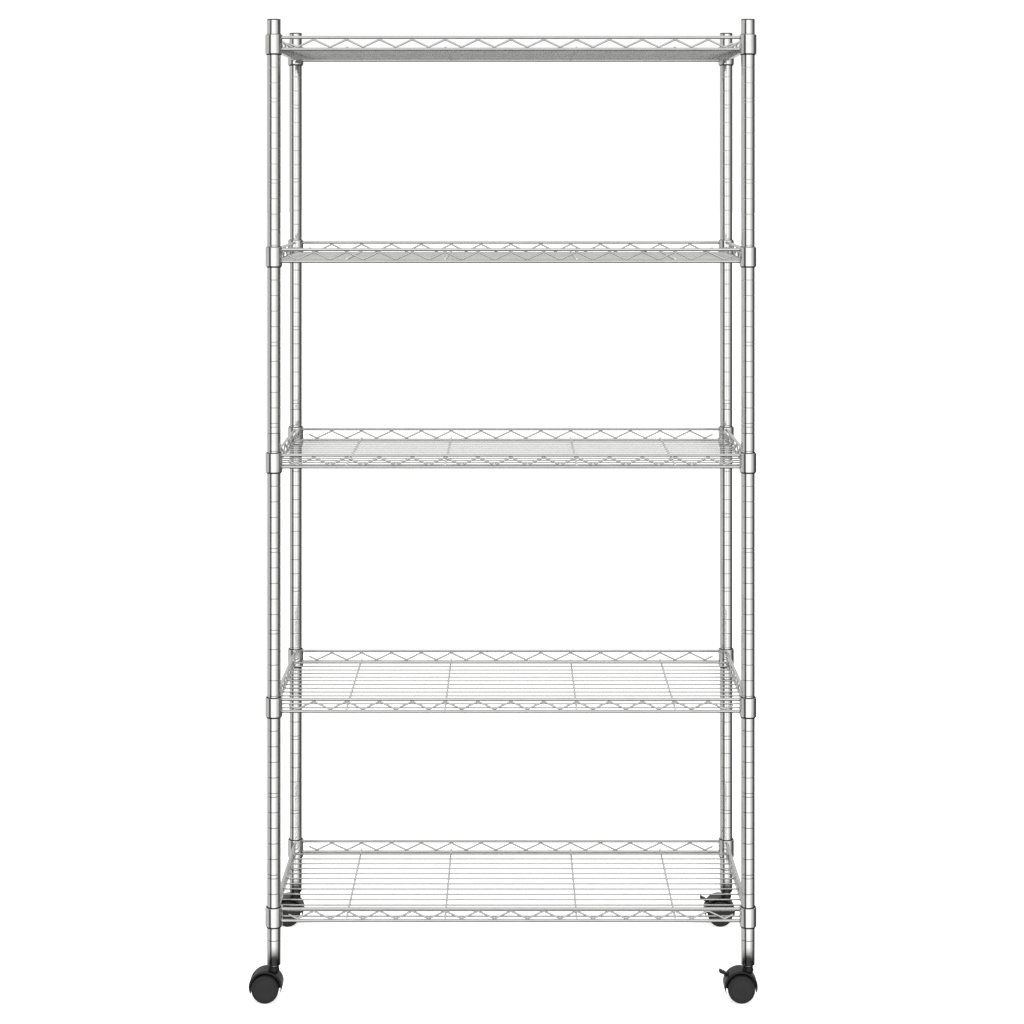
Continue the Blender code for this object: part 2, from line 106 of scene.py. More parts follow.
camera_data = bpy.data.cameras.new("camera")
camera_data.sensor_width = SENSOR
camera_data.lens = LENS
camera_data.shift_x = SHIFT_RIGHT
camera_data.shift_y = -SHIFT_DOWN
camera = bpy.data.objects.new("camera", camera_data)
camera.location = (rack_middle[0], rack_middle[1] - half_y - STAND_OFF, EYE_HEIGHT)
camera.rotation_euler = (math.pi / 2, 0.0, 0.0)
bpy.context.collection.objects.link(camera)
bpy.context.scene.camera = camera
print("lens", round(camera_data.lens, 2), "mm, shift", round(camera_data.shift_y, 3))

# %% [markdown]
# ## The studio
#
# Chrome has no colour of its own: it shows the room. A plain white room would make it vanish,
# so a studio stands dark cards beside the white ones. Here the world is those cards. It
# is split by compass direction, counted from the camera's side towards the right, and only
# mirror-like rays see the cards. Rays from the lens and soft light see plain white.

# %% Light the studio
CARDS = (                    # (degrees round from the camera towards the right, brightness)
    (-180, 0.78), (-164, 0.74), (-150, 0.50), (-100, 0.58), (-68, 0.58), (-61, 0.11),
    (-37, 0.11), (-28, 1.20), (24, 1.20), (46, 0.75), (70, 0.50), (84, 0.11),
    (130, 0.07), (150, 0.25), (164, 0.72), (180, 0.78),
)
SHADE = (                    # (degrees above eye level, how much of the cards shows)
    (-90, 0.05), (-34, 0.05), (-25, 1.0), (90, 1.0),
)
CEILING_START = 0.40         # height on the unit sphere where the ceiling comes in
CEILING_EASE = 0.1
CEILING_RISE = 4.0           # how quickly it takes over from the cards
CEILING_GREY = 0.76
STUDIO_STRENGTH = 1.05


def link(tree, source, target):
    tree.links.new(source, target)


def maths(tree, operation, *values):
    """A Math node. Each value is a number or a socket."""
    node = tree.nodes.new("ShaderNodeMath")
    node.operation = operation
    for slot, value in zip(node.inputs, values):
        if hasattr(value, "links"):
            link(tree, value, slot)
        else:
            slot.default_value = value
    return node.outputs[0]


def ramp(tree, factor, stops):
    """A colour ramp of greys, through (position, value) stops."""
    node = tree.nodes.new("ShaderNodeValToRGB")
    link(tree, factor, node.inputs[0])
    elements = node.color_ramp.elements
    while len(elements) < len(stops):
        elements.new(0.5)
    for element, (position, value) in zip(elements, stops):
        element.position = position
        element.color = (value, value, value, 1.0)
    return node.outputs[0]


world = bpy.data.worlds.new("studio")
world.use_nodes = True
bpy.context.scene.world = world
bpy.context.scene.view_settings.view_transform = "Standard"
sky = world.node_tree
background = sky.nodes["Background"]
direction = sky.nodes.new("ShaderNodeTexCoord").outputs["Generated"]
parts = sky.nodes.new("ShaderNodeSeparateXYZ")
link(sky, direction, parts.inputs[0])
toward_camera = maths(sky, "MULTIPLY", parts.outputs["Y"], -1.0)
compass = maths(sky, "ARCTAN2", parts.outputs["X"], toward_camera)
turn_share = maths(sky, "MULTIPLY_ADD", compass, 1 / (2 * math.pi), 0.5)
CARD_PEAK = max(value for _, value in CARDS)
cards = ramp(sky, turn_share, [(a / 360 + 0.5, v / CARD_PEAK) for a, v in CARDS])
card_light = sky.nodes.new("ShaderNodeVectorMath")
card_light.operation = "SCALE"
card_light.inputs["Scale"].default_value = CARD_PEAK
link(sky, cards, card_light.inputs[0])

# The cards end well below eye level. A mirror that looks further down finds the dark there.
level = maths(sky, "ARCSINE", parts.outputs["Z"])
level_share = maths(sky, "MULTIPLY_ADD", level, 1 / math.pi, 0.5)
shade = ramp(sky, level_share, [(a / 180 + 0.5, v) for a, v in SHADE])
lit_cards = sky.nodes.new("ShaderNodeVectorMath")
lit_cards.operation = "MULTIPLY"
link(sky, card_light.outputs[0], lit_cards.inputs[0])
link(sky, shade, lit_cards.inputs[1])

# Higher up, all the cards give way to one pale ceiling.
above_start = maths(sky, "SUBTRACT", parts.outputs["Z"], CEILING_START)
ceiling = maths(sky, "SMOOTH_MAX", 0.0, above_start, CEILING_EASE)
ceiling_share = maths(sky, "MINIMUM", maths(sky, "MULTIPLY", ceiling, CEILING_RISE), 1.0)
roofed = sky.nodes.new("ShaderNodeMix")
roofed.data_type = "RGBA"
link(sky, ceiling_share, roofed.inputs["Factor"])
link(sky, lit_cards.outputs[0], roofed.inputs["A"])
roofed.inputs["B"].default_value = (CEILING_GREY, CEILING_GREY, CEILING_GREY, 1.0)

ray = sky.nodes.new("ShaderNodeLightPath")
chosen = sky.nodes.new("ShaderNodeMix")
chosen.data_type = "RGBA"
link(sky, ray.outputs["Is Glossy Ray"], chosen.inputs["Factor"])
chosen.inputs["A"].default_value = (1.0, 1.0, 1.0, 1.0)
link(sky, roofed.outputs["Result"], chosen.inputs["B"])
link(sky, chosen.outputs["Result"], background.inputs["Color"])
background.inputs["Strength"].default_value = STUDIO_STRENGTH
print("cards at", [a for a, _ in CARDS], "degrees")

# %% [markdown]
# ## Node groups for finishes
#
# Two effects are shared. Handling marks are soft, cloudy changes in how sharply a surface
# mirrors the room. Moulded grain is the fine even texture that a spark-eroded mould leaves on
# plastic. Each is a group with named inputs, so that every finish can use its own values.


# %% Build the shared groups
def new_group(name, inputs, outputs):
    """An empty shader group with float sockets. inputs is (name, default) pairs."""
    group = bpy.data.node_groups.new(name, "ShaderNodeTree")
    kind = "NodeSocketFloat"
    for label, default in inputs:
        socket = group.interface.new_socket(label, in_out="INPUT", socket_type=kind)
        socket.default_value = default
    for label in outputs:
        group.interface.new_socket(label, in_out="OUTPUT", socket_type=kind)
    entry = group.nodes.new("NodeGroupInput")
    way_out = group.nodes.new("NodeGroupOutput")
    return group, entry, way_out


def noise(tree, scale, detail, roughness=0.5):
    """Noise on Object coordinates. The scale is a number or a socket."""
    place = tree.nodes.new("ShaderNodeTexCoord").outputs["Object"]
    node = tree.nodes.new("ShaderNodeTexNoise")
    link(tree, place, node.inputs["Vector"])
    if hasattr(scale, "links"):
        link(tree, scale, node.inputs["Scale"])
    else:
        node.inputs["Scale"].default_value = scale
    node.inputs["Detail"].default_value = detail
    node.inputs["Roughness"].default_value = roughness
    return node.outputs["Fac"]


marks, marks_in, marks_out = new_group(
    "handling_marks",
    [("Cloud Size", 30.0), ("Clean Roughness", 0.1), ("Marked Roughness", 0.2)],
    ["Roughness", "Mask"],
)
cloud = noise(marks, marks_in.outputs["Cloud Size"], 4.0, 0.6)
mask = ramp(marks, cloud, [(0.45, 0.0), (0.72, 1.0)])
span = maths(marks, "SUBTRACT", marks_in.outputs["Marked Roughness"],
             marks_in.outputs["Clean Roughness"])
rough = maths(marks, "MULTIPLY_ADD", mask, span, marks_in.outputs["Clean Roughness"])
link(marks, rough, marks_out.inputs["Roughness"])
link(marks, mask, marks_out.inputs["Mask"])

grain, grain_in, grain_out = new_group(
    "moulded_grain", [("Grain Scale", 2500.0), ("Wave Scale", 60.0)], ["Height"]
)
fine = noise(grain, grain_in.outputs["Grain Scale"], 3.0, 0.6)
wave = noise(grain, grain_in.outputs["Wave Scale"], 1.0)
height = maths(grain, "MULTIPLY_ADD", wave, 0.6, maths(grain, "MULTIPLY", fine, 0.4))
link(grain, height, grain_out.inputs["Height"])
print("groups:", [group.name for group in bpy.data.node_groups])

# %% [markdown]
# ## Finishes
#
# There are six: bright chrome plate on the polished tubes, a rougher chrome on the drawn wires,
# which are plated as they come, with a darker colour as painted shade for the thin, crowded
# wires, zinc-plated steel inside the casters, satin black for the caps and sleeves, semi-gloss
# black for the hoods and levers, and a charcoal plastic for the wheels. Each is one Principled
# shader, with its roughness, colour and bump from nodes.


# %% Make the finishes
def finish(name, colour, metallic, specular=0.5):
    """A material with its Principled shader, ready for its nodes."""
    made = bpy.data.materials.new(name)
    made.use_nodes = True
    shader = made.node_tree.nodes["Principled BSDF"]
    shader.inputs["Base Color"].default_value = (*colour, 1.0)
    shader.inputs["Metallic"].default_value = metallic
    shader.inputs["Specular IOR Level"].default_value = specular
    return made, made.node_tree, shader


def use_group(tree, group, **values):
    """A group node. The keywords are its inputs, with underscores for spaces."""
    node = tree.nodes.new("ShaderNodeGroup")
    node.node_tree = group
    for label, value in values.items():
        node.inputs[label.replace("_", " ")].default_value = value
    return node


def mixed_colour(tree, factor, first, second):
    node = tree.nodes.new("ShaderNodeMix")
    node.data_type = "RGBA"
    link(tree, factor, node.inputs["Factor"])
    node.inputs["A"].default_value = (*first, 1.0)
    node.inputs["B"].default_value = (*second, 1.0)
    return node.outputs["Result"]


def bump(tree, shader, height, strength, distance):
    node = tree.nodes.new("ShaderNodeBump")
    node.inputs["Strength"].default_value = strength
    node.inputs["Distance"].default_value = distance
    link(tree, height, node.inputs["Height"])
    link(tree, node.outputs["Normal"], shader.inputs["Normal"])


def plate_finish(name, clean, marked, clean_roughness, marked_roughness):
    """Chrome plate: a nearly neutral mirror with cloudy marks and a very slight waviness."""
    made, tree, shader = finish(name, clean, 1.0)
    clouds = use_group(tree, marks, Cloud_Size=38.0, Clean_Roughness=clean_roughness,
                       Marked_Roughness=marked_roughness)
    link(tree, clouds.outputs["Roughness"], shader.inputs["Roughness"])
    link(tree, mixed_colour(tree, clouds.outputs["Mask"], clean, marked),
         shader.inputs["Base Color"])
    waviness = noise(tree, 420.0, 1.0)
    bump(tree, shader, waviness, strength=0.06, distance=0.0004)
    return made


def steel_finish():
    """Zinc plate: a dull spangled grey."""
    made, tree, shader = finish("zinc_steel", (0.5, 0.5, 0.52), 1.0)
    clouds = use_group(tree, marks, Cloud_Size=160.0, Clean_Roughness=0.28,
                       Marked_Roughness=0.45)
    link(tree, clouds.outputs["Roughness"], shader.inputs["Roughness"])
    tint = mixed_colour(tree, clouds.outputs["Mask"], (0.52, 0.52, 0.54), (0.42, 0.43, 0.45))
    link(tree, tint, shader.inputs["Base Color"])
    return made


def plastic_finish(name, dark, light, clean, marked, grain_scale, specular, depth=0.00015):
    """Moulded plastic: cloudy gloss over an even grain, and a slight drift in its black."""
    dark, light = (dark, dark, dark), (light, light, light)
    made, tree, shader = finish(name, dark, 0.0, specular)
    clouds = use_group(tree, marks, Cloud_Size=55.0, Clean_Roughness=clean,
                       Marked_Roughness=marked)
    link(tree, clouds.outputs["Roughness"], shader.inputs["Roughness"])
    link(tree, mixed_colour(tree, clouds.outputs["Mask"], dark, light),
         shader.inputs["Base Color"])
    texture = use_group(tree, grain, Grain_Scale=grain_scale, Wave_Scale=70.0)
    bump(tree, shader, texture.outputs["Height"], strength=0.35, distance=depth)
    return made


chrome = plate_finish("tube_chrome", (0.82, 0.82, 0.81), (0.77, 0.77, 0.76), 0.055, 0.10)
# The wires' plating is rougher, and their base colours are darker than the tubes': painted shade
# for thin wires that overlap and darken at their edges.
wire_chrome_painted_shade = plate_finish("wire_chrome_painted_shade", (0.68, 0.68, 0.67), (0.62, 0.62, 0.61), 0.16, 0.22)
zinc = steel_finish()
trim_black = plastic_finish("sleeve_plastic", 0.004, 0.007, 0.42, 0.55, 2600.0, 0.18)
hood_black = plastic_finish("hood_plastic", 0.008, 0.012, 0.34, 0.46, 2200.0, 0.30)
wheel_charcoal = plastic_finish("wheel_plastic", 0.020, 0.025, 0.40, 0.52, 1800.0, 0.25)
finishes = (chrome, wire_chrome_painted_shade, zinc, trim_black, hood_black, wheel_charcoal)
print("finishes:", [made.name for made in finishes])

# %% [markdown]
# ## Surfaces from grids
#
# Almost every piece here is a tube, a wire or a turned part, and each of these is a grid of
# points: rows along the piece and columns round it. Numpy works out the whole grid at once,
# and one function turns grids into a mesh. Columns always close on themselves. Rows close
# too on a ring, and otherwise the first and last rows are capped.


# %% Turn grids into meshes
def grid_faces(rows, columns, ring):
    """Corner numbers of a grid's faces: each cell's four, anticlockwise from outside."""
    row = np.arange(rows if ring else rows - 1)[:, None]
    column = np.arange(columns)[None, :]
    next_row = (row + 1) % rows
    next_column = (column + 1) % columns
    corners = np.broadcast_arrays(
        row * columns + column,
        row * columns + next_column,
        next_row * columns + next_column,
        next_row * columns + column,
    )
    return np.stack(corners, axis=-1).reshape(-1, 4)


def surface_mesh(name, sheets, crease=35.0):
    """One mesh from sheets, each a (points, ring) pair. Edges past the crease stay sharp."""
    points, quads, caps, start = [], [], [], 0
    for sheet, ring in sheets:
        rows, columns = sheet.shape[:2]
        points.append(sheet.reshape(-1, 3))
        quads.append(grid_faces(rows, columns, ring) + start)
        if not ring:
            caps.append(start + np.arange(columns)[::-1])
            caps.append(start + (rows - 1) * columns + np.arange(columns))
        start += rows * columns
    quads = np.concatenate(quads)
    sizes = np.concatenate([np.full(len(quads), 4), [len(cap) for cap in caps]]).astype(int)
    corners = np.concatenate([quads.ravel(), *caps])
    mesh = bpy.data.meshes.new(name)
    mesh.vertices.add(start)
    mesh.vertices.foreach_set("co", np.concatenate(points).astype(np.float32).ravel())
    mesh.loops.add(len(corners))
    mesh.loops.foreach_set("vertex_index", corners.astype(np.int32))
    mesh.polygons.add(len(sizes))
    mesh.polygons.foreach_set("loop_start", (np.cumsum(sizes) - sizes).astype(np.int32))
    mesh.update(calc_edges=True)
    mesh.validate()
    mesh.shade_smooth()
    mesh.set_sharp_from_angle(angle=math.radians(crease))
    return mesh


def show(name, mesh, body, material, slot, *nodes):
    """Puts a finished mesh in the scene, on its body, in place of the nodes it stands for."""
    mesh.materials.clear()
    mesh.materials.append(material)
    piece = bpy.data.objects.new(name, mesh)
    bpy.context.collection.objects.link(piece)
    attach(piece, body)
    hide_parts(*nodes)


# %% [markdown]
# ## Profiles, turning and sweeping
#
# `soften` rounds the corners of an outline, because no real edge is perfectly sharp.
# `turned` spins a profile about an upright axis, and `swept_round` carries a circle along a
# flat path, which is how a wire is made. A solid turned part stops a hair short of its axis,
# and a tiny flat face closes it there.


# %% Shape helpers
POLE = 0.0004                # radius of the tiny face on the larger turned parts
FINE_POLE = 0.0003           # and on pins, wheels and stems


def soften(outline, radius, steps=4, closed=False):
    """Rounds corners: each is a quadratic bend from `radius` before it to `radius` after."""
    outline = np.asarray(outline, float)
    radius = np.broadcast_to(np.asarray(radius, float), len(outline))[:, None]

    def toward(other):
        step = other - outline
        length = np.linalg.norm(step, axis=1, keepdims=True) + 1e-12
        return outline + step / length * np.minimum(radius, 0.45 * length)

    before = toward(np.roll(outline, 1, axis=0))
    after = toward(np.roll(outline, -1, axis=0))
    t = np.linspace(0, 1, steps)[:, None, None]
    bends = (1 - t) ** 2 * before + 2 * t * (1 - t) * outline + t**2 * after
    bends = bends.transpose(1, 0, 2).reshape(-1, outline.shape[1])
    if closed:
        return bends
    return np.concatenate([outline[:1], bends[steps:-steps], outline[-1:]])


def turned(profile, centre, sides=40, ring=False):
    """(radius, height) pairs turned about +Z. The profile runs upwards on its outer side."""
    profile = np.asarray(profile, float)
    angle = np.linspace(0, 2 * np.pi, sides, endpoint=False)
    radius, height = profile[:, :1], profile[:, 1:2]
    points = np.stack(
        [radius * np.cos(angle), radius * np.sin(angle), height + 0 * angle], axis=-1
    )
    return points + np.asarray(centre, float), ring


def laid_over(sheet, outward):
    """Turns an upright sheet made about the origin so that its +Z points along +Y or -Y."""
    points, ring = sheet
    x, y, z = points[..., 0], points[..., 1], points[..., 2]
    return np.stack([outward * x, outward * z, -y], axis=-1), ring


def swept_round(path, square_to, radius, sides):
    """A round wire: at each point of a flat path, a circle across it. `square_to` is the
    direction square to the path's plane, and `radius` may change along the path."""
    path = np.asarray(path, float)
    square_to = np.asarray(square_to, float)
    along = np.gradient(path, axis=0)
    along /= np.linalg.norm(along, axis=1, keepdims=True)
    across = np.cross(along, square_to)
    angle = np.linspace(0, 2 * np.pi, sides, endpoint=False)[None, :, None]
    radius = np.broadcast_to(np.asarray(radius, float), len(path))[:, None, None]
    circle = np.cos(angle) * square_to + np.sin(angle) * across[:, None, :]
    return path[:, None, :] + radius * circle, False


# %% [markdown]
# ## Posts
#
# Each post is two lengths of thin tube with a groove rolled in about every inch, so that a
# shelf can clip on at any of them. The first groove and each fifth after it is doubled,
# which lets a person count heights at a glance. The profile below is a straight line that
# dips by a rounded curve at each groove.

# %% Make the posts
LOWER_GROOVES = (0.0085, 0.0246)     # from the section's foot to its first groove, and pitch
UPPER_GROOVES = (0.0095, 0.0245)
GROOVE_DOUBLE = 0.0058
GROOVES_PER_MARK = 5
SMOOTH_FOOT = 0.018          # the lower section has no groove where the caster's insert sits
GROOVE_DEPTH = 0.0003
GROOVE_HALF = 0.0012
TUBE_WALL = 0.0012
INSERT_HEIGHT = 0.012
INSERT_BORE = 0.0043
STUD_RADIUS = 0.0040
STUD_ROUND = 0.0006
EDGE = 0.0005                # how far a tube's cut edge is rounded


def groove_heights(length, spacing, clear=0.0):
    """Heights of all grooves above a section's foot, with each doubled groove's partner. The
    n-th stands n pitches above the first, raised by each doubling below it."""
    first, pitch = spacing
    k = np.arange(int(length / pitch) + 1)
    single = first + k * pitch + np.ceil(k / GROOVES_PER_MARK) * GROOVE_DOUBLE
    partner = single[::GROOVES_PER_MARK] + GROOVE_DOUBLE
    heights = np.sort(np.concatenate([single, partner]))
    return heights[(heights > clear) & (heights < length - first)]


def tube_outside(length, grooves):
    """Radius along a section. Each groove dips by a squared cosine of the distance from it.
    A level row just outside each groove keeps the smooth shading from bending the wall."""
    offsets = np.concatenate([[-1.25], np.linspace(-1, 1, 9), [1.25]])
    heights = (grooves[:, None] + offsets * GROOVE_HALF).ravel()
    level = np.cos(np.clip(offsets, -1, 1) * np.pi / 2) ** 2
    dips = np.tile(GROOVE_DEPTH * level, len(grooves))
    ends = [(POST_RADIUS - EDGE, 0.0), (POST_RADIUS - EDGE / 4, EDGE / 3), (POST_RADIUS, EDGE)]
    head = [(radius, length - height) for radius, height in reversed(ends)]
    return np.concatenate([ends, np.stack([POST_RADIUS - dips, heights], axis=1), head])


def tube_section(corner, foot, length, grooves, head_insert):
    """A grooved tube as one ring of surface, with a bored insert in its foot or both ends."""
    bore = POST_RADIUS - TUBE_WALL
    head = [(bore, length)]
    if head_insert:
        head = [(INSERT_BORE, length), (INSERT_BORE, length - INSERT_HEIGHT),
                (bore, length - INSERT_HEIGHT)]
    inside = [*head, (bore, INSERT_HEIGHT), (INSERT_BORE, INSERT_HEIGHT), (INSERT_BORE, 0.0)]
    profile = np.concatenate([tube_outside(length, grooves), inside])
    return turned(profile, (*post_axis[corner], foot), ring=True)


GAP = 0.0003                 # left between pieces that touch
lower_foot, joint_height = first_low[2], first_high[2]
stud_foot, upper_head = (corner[2] for corner in node_box("front_left_upper_post"))
upper_foot = joint_height + GAP
lower_length, upper_length = joint_height - lower_foot, upper_head - upper_foot
stud_line = soften(
    [(POLE, stud_foot), (STUD_RADIUS, stud_foot), (STUD_RADIUS, upper_foot + INSERT_HEIGHT),
     (POLE, upper_foot + INSERT_HEIGHT)], STUD_ROUND)
lower_grooves = groove_heights(lower_length, LOWER_GROOVES, clear=SMOOTH_FOOT)
upper_grooves = groove_heights(upper_length, UPPER_GROOVES)
for corner in CORNERS:
    tube = tube_section(corner, lower_foot, lower_length, lower_grooves, True)
    show(corner + "_lower_tube", surface_mesh("lower_tube", [tube]), "rack", chrome, "chrome",
         corner + "_lower_post")
    tube = tube_section(corner, upper_foot, upper_length, upper_grooves, False)
    stud = turned(stud_line, (*post_axis[corner], 0.0), sides=24)
    show(corner + "_upper_tube", surface_mesh("upper_tube", [tube, stud]), "rack", chrome,
         "chrome", corner + "_upper_post")
print("grooves on a post:", len(lower_grooves), "+", len(upper_grooves))

# %% [markdown]
# ## Post caps
#
# A black plastic plug closes each tube. Its rim sits on the tube's end and its top is very
# slightly domed, with a rounded edge that catches the light.

# %% Make the caps
CAP_RIM = 0.0015
CAP_DOME = 0.0003
CAP_FLAT = 0.45              # the flat middle of its top, as a share of the radius
for corner in CORNERS:
    node = corner + "_post_cap"
    low, high = node_box(node)
    plug = POST_RADIUS - TUBE_WALL - GAP
    rim_foot = high[2] - CAP_RIM
    outline = soften(
        [(POLE, low[2]), (plug, low[2]), (plug, rim_foot), (POST_RADIUS, rim_foot),
         (POST_RADIUS, high[2] - CAP_DOME), (POST_RADIUS * CAP_FLAT, high[2]),
         (POLE, high[2])],
        [0, 0.0006, 0.0001, 0.0002, 0.0009, 0.003, 0], steps=6)
    show(corner + "_cap", surface_mesh(node, [turned(outline, (*post_axis[corner], 0.0))]),
         "rack", trim_black, "black_trim", node)
print("cap rim", CAP_RIM, "on a tube of radius", round(POST_RADIUS, 5))

# %% [markdown]
# ## Split sleeves
#
# Two plastic half shells clip round the post, with a rib inside that drops into a groove. They
# are thicker at the foot, so the shelf's collar wedges tight as it is pushed down. Only a
# thin dark ring shows above and below the collar. Each half is a profile swept half way round.

# %% Make the sleeves
SLEEVE_PLAY = 0.0003
SLEEVE_WALL_TOP = 0.0005
SLEEVE_WALL_FOOT = 0.00085
SLEEVE_ROUND = 0.00015
SLEEVE_SPLIT = math.radians(1.6)
RIB_ABOVE_COLLAR_FOOT = 0.0032


def swept_arc(profile, centre, start, end, steps):
    """(radius, height) pairs, upwards outside, carried round +Z between two angles."""
    profile = np.asarray(profile, float)[::-1]
    angle = np.linspace(start, end, steps)[:, None]
    radius, height = profile[None, :, 0], profile[None, :, 1]
    points = np.stack(
        [radius * np.cos(angle), radius * np.sin(angle), height + 0 * angle], axis=-1
    )
    return points + np.asarray(centre, float), False


for corner in CORNERS:
    for number in SHELVES:
        node = f"{corner}_sleeve_{number}"
        low, high = node_box(node)
        bore = POST_RADIUS + SLEEVE_PLAY
        seat = node_box(f"shelf_{number}")[0][2] + RIB_ABOVE_COLLAR_FOOT
        outline = soften(
            [(bore, seat + GROOVE_HALF), (POST_RADIUS - GROOVE_DEPTH / 2, seat),
             (bore, seat - GROOVE_HALF), (bore, low[2]), (bore + SLEEVE_WALL_FOOT, low[2]),
             (bore + SLEEVE_WALL_TOP, high[2]), (bore, high[2])],
            SLEEVE_ROUND, steps=3, closed=True)
        halves = [
            swept_arc(outline, (*post_axis[corner], 0.0), turn + SLEEVE_SPLIT,
                      turn + math.pi - SLEEVE_SPLIT, 25)
            for turn in (0.0, math.pi)
        ]
        show(f"{corner}_clip_{number}", surface_mesh(node, halves), "rack", trim_black,
             "black_trim", node)
print("sleeves:", len(CORNERS) * len(SHELVES), "pairs of half shells")

# %% [markdown]
# ## Shelf wires
#
# Each side of a shelf is a ladder: an upper and a lower wire with a zigzag truss between.
# The deck is thirteen thin wires along the shelf with four cross wires over them. A zigzag
# is bent round pins, so each bend is an arc. The arc's half angle equals the slope of the
# straight runs, and that slope is found by a few rounds of the same formula.

# %% Work out the wire paths
RAIL = 0.0025                # radii of the wires
TRUSS = 0.0015
DECK = 0.0012
CROSS = 0.0016
RAIL_BELOW_COLLAR_TOP = 0.004
RAIL_GAP = 0.0187
TRUSS_PITCH = 0.052
DECK_PITCH = 0.0242
BEND_RADIUS = 0.0045
SINK = 0.00025               # how far two wires melt into each other at a weld
COLLAR_RADIUS = middle_of("shelf_1")[0] - half_x - node_box("shelf_1")[0][0]
END_CLEARANCE = 0.0005
RAIL_IN_COLLAR = 0.0006      # how far a rail's end goes into its collar
RAIL_FLARE = 0.22
DECK_SHORT = 0.0003          # a deck wire ends this far before the rail's middle
CROSS_PAST = 0.0012          # and a cross wire this far past it
DECK_ALLOWANCE = 1.3         # radii of a deck wire kept clear of the collars


def truss_peaks(half_span):
    """Peaks each side of the middle one, before the last bend and its stub meet a collar."""
    room = half_span - COLLAR_RADIUS - TRUSS_PITCH / 4 - END_CLEARANCE
    return math.floor(room / TRUSS_PITCH - 1 / 2)


def zigzag(half_span, low, high):
    """(distance, height) along a truss wire: arcs at the bends, joined by straight runs."""
    rise = high - low
    slope = math.atan2(rise, TRUSS_PITCH / 2)
    for _ in range(12):
        run = TRUSS_PITCH / 2 - 2 * BEND_RADIUS * math.sin(slope)
        slope = math.atan2(rise - 2 * BEND_RADIUS * (1 - math.cos(slope)), run)
    last = 2 * truss_peaks(half_span) + 1
    bends = np.arange(-last, last + 1)
    side = np.where(bends % 2 == 0, 1.0, -1.0)[:, None]
    turn = np.linspace(-slope, slope, 7)[None, :]
    x = bends[:, None] * TRUSS_PITCH / 2 + BEND_RADIUS * np.sin(turn)
    z = (high + low) / 2 + side * (rise / 2 - BEND_RADIUS + BEND_RADIUS * np.cos(turn))
    path = np.stack([x.ravel(), z.ravel()], axis=1)
    stub = TRUSS_PITCH / 4 * np.array([math.cos(slope), math.sin(slope)])
    tip = path[-1] + stub
    return np.concatenate([[(-tip[0], tip[1])], path, [tip]]), bends


def straight(start, end, square_to, radius, flare=0.0, sides=14):
    """A straight wire. flare widens its last 3 mm towards each end, as a weld does."""
    start, end = np.asarray(start, float), np.asarray(end, float)
    length = np.linalg.norm(end - start)
    stations = np.array([0, 0.0004, 0.0009, 0.0016, 0.003])
    share = np.concatenate([stations, length - stations[::-1]]) / length
    swell = flare * np.array([1, 0.75, 0.4, 0.12, 0])
    widths = radius * (1 + np.concatenate([swell, swell[::-1]]))
    path = start + share[:, None] * (end - start)
    return swept_round(path, square_to, widths, sides)


print("peaks:", 2 * truss_peaks(half_x) + 1, "long,", 2 * truss_peaks(half_y) + 1, "short")

# %% [markdown]
# ## Spot welds
#
# Where wires touch, a pulse of current melts them together and leaves a small smooth bead
# under the plating. Each bead is a flattened ball of a few dozen faces. There are well over
# a hundred on a shelf, and they are placed from the same values as the wires.


# %% Weld beads and one shelf
BEAD_POLE = 0.12             # angle from its axis at which a bead's ball is closed


def beads(centres, radii, rows=5, columns=8):
    """Flattened balls: unit sphere points times three radii, one copy at each centre."""
    polar = np.linspace(BEAD_POLE, np.pi - BEAD_POLE, rows)[::-1, None]
    angle = np.linspace(0, 2 * np.pi, columns, endpoint=False)[None, :]
    ball = np.stack(
        [np.sin(polar) * np.cos(angle), np.sin(polar) * np.sin(angle),
         np.cos(polar) + 0 * angle], axis=-1)
    return [(centre + ball * np.asarray(radii), False) for centre in np.asarray(centres)]


UP = (0.0, 0.0, 1.0)
ALONG_X = (1.0, 0.0, 0.0)
ALONG_Y = (0.0, 1.0, 0.0)
LONG_TRUSS_BEAD = (0.0026, 0.0013, 0.0006)     # half sizes along X, Y and Z
SHORT_TRUSS_BEAD = (0.0013, 0.0026, 0.0006)
CROSSING_BEAD = (0.0013, 0.0013, 0.0005)
DECK_END_BEAD = (0.0009, 0.0016, 0.0013)
CROSS_END_BEAD = (0.0018, 0.0018, 0.0006)


def rail_and_truss(level_low, level_high):
    """The ladders on all four sides, with their weld beads, about the shelf's middle."""
    sheets = []
    clear = COLLAR_RADIUS - RAIL_IN_COLLAR
    high, low = level_high - RAIL - TRUSS + SINK, level_low + RAIL + TRUSS - SINK
    for side in (-1, 1):
        x, y = side * half_x, side * half_y
        for z in (level_low, level_high):
            sheets.append(straight((clear - half_x, y, z), (half_x - clear, y, z), UP, RAIL,
                                   flare=RAIL_FLARE, sides=18))
            sheets.append(straight((x, clear - half_y, z), (x, half_y - clear, z), UP, RAIL,
                                   flare=RAIL_FLARE, sides=18))
        line, bends = zigzag(half_x, low, high)
        path = np.stack([line[:, 0], np.full(len(line), y), line[:, 1]], axis=1)
        sheets.append(swept_round(path, ALONG_Y, TRUSS, 12))
        weld = np.where(bends % 2 == 0, level_high - RAIL, level_low + RAIL)
        spots = np.stack([bends * TRUSS_PITCH / 2, np.full(len(bends), y), weld], axis=1)
        sheets += beads(spots, LONG_TRUSS_BEAD)
        line, bends = zigzag(half_y, low, high)
        path = np.stack([np.full(len(line), x), line[:, 0], line[:, 1]], axis=1)
        sheets.append(swept_round(path, ALONG_X, TRUSS, 12))
        weld = np.where(bends % 2 == 0, level_high - RAIL, level_low + RAIL)
        spots = np.stack([np.full(len(bends), x), bends * TRUSS_PITCH / 2, weld], axis=1)
        sheets += beads(spots, SHORT_TRUSS_BEAD)
    return sheets


